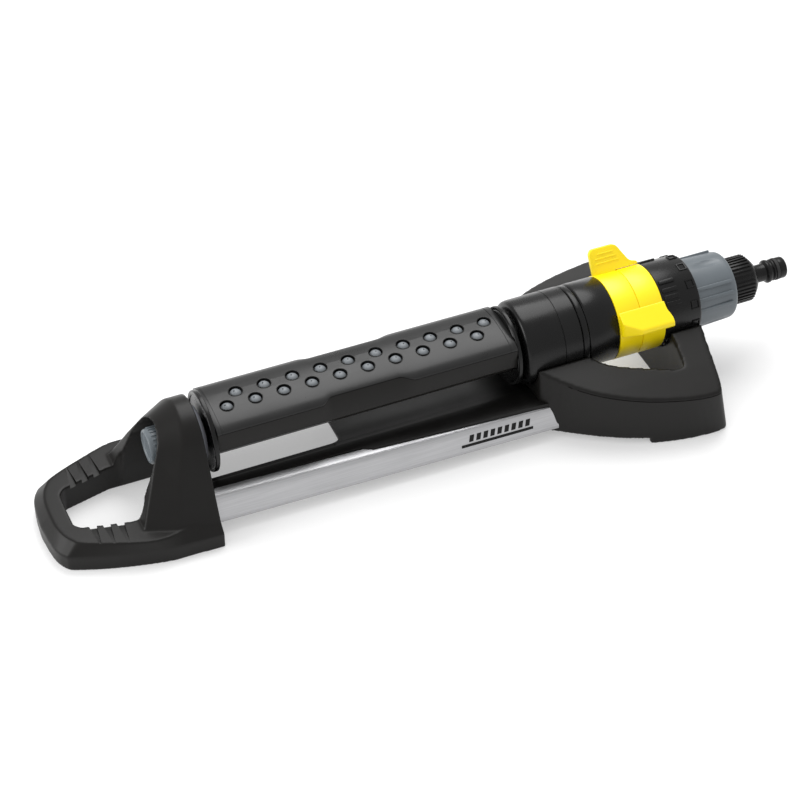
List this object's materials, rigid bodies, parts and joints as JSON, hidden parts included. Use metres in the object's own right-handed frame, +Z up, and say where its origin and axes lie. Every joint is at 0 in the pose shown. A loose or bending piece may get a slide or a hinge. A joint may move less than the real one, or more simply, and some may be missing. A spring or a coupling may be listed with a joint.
{
  "type": "oscillating sprinkler",
  "caption": "Oscillating lawn sprinkler: swinging spray tube with two nozzle rows between two feet, water motor, range rings, flow knob and hose inlet.",
  "frame": {"origin": "bottom centre of the whole sprinkler's bounding box, on the ground", "axes": "+X along the spray tube towards the hose inlet, +Z up, -Y towards the front range tab"},
  "size_m": [0.5836, 0.177, 0.1013],
  "materials": {
    "satin_black_plastic": "moulded nylon with a fine satin grain",
    "black_plastic": "smooth moulded plastic, semi-gloss",
    "yellow_plastic": "smooth bright yellow plastic",
    "blue_grey_plastic": "smooth blue-grey plastic",
    "grey_plastic": "moulded light grey plastic",
    "natural_plastic": "unpigmented acetal, slightly translucent",
    "seal_rubber": "soft black seal rubber",
    "anodised_aluminium": "silver anodised, finely brushed along its length",
    "bright_steel": "bright stainless steel"
  },
  "bodies": {
    "frame": {"left_foot": "satin_black_plastic", "end_bush": "natural_plastic", "thrust_ring": "grey_plastic", "right_foot": "satin_black_plastic", "front_rail": "anodised_aluminium", "rear_rail": "anodised_aluminium", "base_frame": "black_plastic", "motor_housing": "black_plastic", "shaft_seal": "seal_rubber", "lock_ring": "black_plastic", "gear_plate": "natural_plastic", "jet_plate": "natural_plastic", "rear_case": "black_plastic", "main_spindle": "bright_steel", "lay_spindle": "bright_steel", "scale_collar": "black_plastic", "inlet_spigot": "black_plastic", "inlet_strainer": "bright_steel", "adapter_washer": "seal_rubber", "hose_adapter": "black_plastic", "hose_seal": "seal_rubber", "left_screw_front": "bright_steel", "left_screw_rear": "bright_steel", "right_screw_front": "bright_steel", "right_screw_rear": "bright_steel"},
    "spray_tube": {"left_flange": "black_plastic", "tube_cover": "black_plastic", "tube_body": "black_plastic", "water_channel": "black_plastic", "nozzle_front_1": "grey_plastic", "nozzle_front_2": "grey_plastic", "nozzle_front_3": "grey_plastic", "nozzle_front_4": "grey_plastic", "nozzle_front_5": "grey_plastic", "nozzle_front_6": "grey_plastic", "nozzle_front_7": "grey_plastic", "nozzle_front_8": "grey_plastic", "nozzle_front_9": "grey_plastic", "nozzle_front_10": "grey_plastic", "nozzle_rear_1": "grey_plastic", "nozzle_rear_2": "grey_plastic", "nozzle_rear_3": "grey_plastic", "nozzle_rear_4": "grey_plastic", "nozzle_rear_5": "grey_plastic", "nozzle_rear_6": "grey_plastic", "nozzle_rear_7": "grey_plastic", "nozzle_rear_8": "grey_plastic", "nozzle_rear_9": "grey_plastic", "nozzle_rear_10": "grey_plastic", "drive_shaft": "black_plastic", "output_gear": "natural_plastic"},
    "end_plug": {"end_plug": "grey_plastic"},
    "cluster_1": {"cluster_gear_1": "natural_plastic"},
    "cluster_2": {"cluster_gear_2": "natural_plastic"},
    "cluster_3": {"cluster_gear_3": "natural_plastic"},
    "turbine": {"turbine_wheel": "natural_plastic"},
    "diverter": {"diverter_lever": "natural_plastic"},
    "left_ring": {"range_ring_left": "yellow_plastic"},
    "right_ring": {"range_ring_right": "yellow_plastic"},
    "flow_knob": {"flow_knob": "blue_grey_plastic"}
  },
  "joints": [
    {"name": "tube_swing", "type": "hinge", "parent": "frame", "child": "spray_tube", "pos_m": [-0.05, 0, 0.058], "axis": [1, 0, 0], "range_deg": [-45, 45]},
    {"name": "end_plug_pull", "type": "slide", "parent": "spray_tube", "child": "end_plug", "axis": [-1, 0, 0], "range_m": [0, 0.03]},
    {"name": "cluster_1_spin", "type": "hinge", "parent": "frame", "child": "cluster_1", "pos_m": [0.08, 0.0152, 0.058], "axis": [1, 0, 0], "range_deg": [-135, 135]},
    {"name": "cluster_2_spin", "type": "hinge", "parent": "frame", "child": "cluster_2", "pos_m": [0.08, 0, 0.058], "axis": [1, 0, 0], "range_deg": [-405, 405]},
    {"name": "cluster_3_spin", "type": "hinge", "parent": "frame", "child": "cluster_3", "pos_m": [0.08, 0.0152, 0.058], "axis": [1, 0, 0], "range_deg": [-1215, 1215]},
    {"name": "turbine_spin", "type": "hinge", "parent": "frame", "child": "turbine", "pos_m": [0.1, 0, 0.058], "axis": [1, 0, 0], "range_deg": [-3645, 3645]},
    {"name": "diverter_flip", "type": "hinge", "parent": "frame", "child": "diverter", "pos_m": [0.12, 0, 0.058], "axis": [1, 0, 0], "range_deg": [-6, 6]},
    {"name": "left_ring_turn", "type": "hinge", "parent": "frame", "child": "left_ring", "pos_m": [0.147, 0, 0.058], "axis": [1, 0, 0], "range_deg": [-30, 35]},
    {"name": "right_ring_turn", "type": "hinge", "parent": "frame", "child": "right_ring", "pos_m": [0.166, 0, 0.058], "axis": [1, 0, 0], "range_deg": [-35, 30]},
    {"name": "flow_knob_turn", "type": "hinge", "parent": "frame", "child": "flow_knob", "pos_m": [0.22, 0, 0.058], "axis": [1, 0, 0], "range_deg": [0, 120]}
  ],
  "couplings": [
    {"joint": "cluster_1_spin", "follows": "tube_swing", "ratio": -3},
    {"joint": "cluster_2_spin", "follows": "tube_swing", "ratio": 9},
    {"joint": "cluster_3_spin", "follows": "tube_swing", "ratio": -27},
    {"joint": "turbine_spin", "follows": "tube_swing", "ratio": 81}
  ]
}
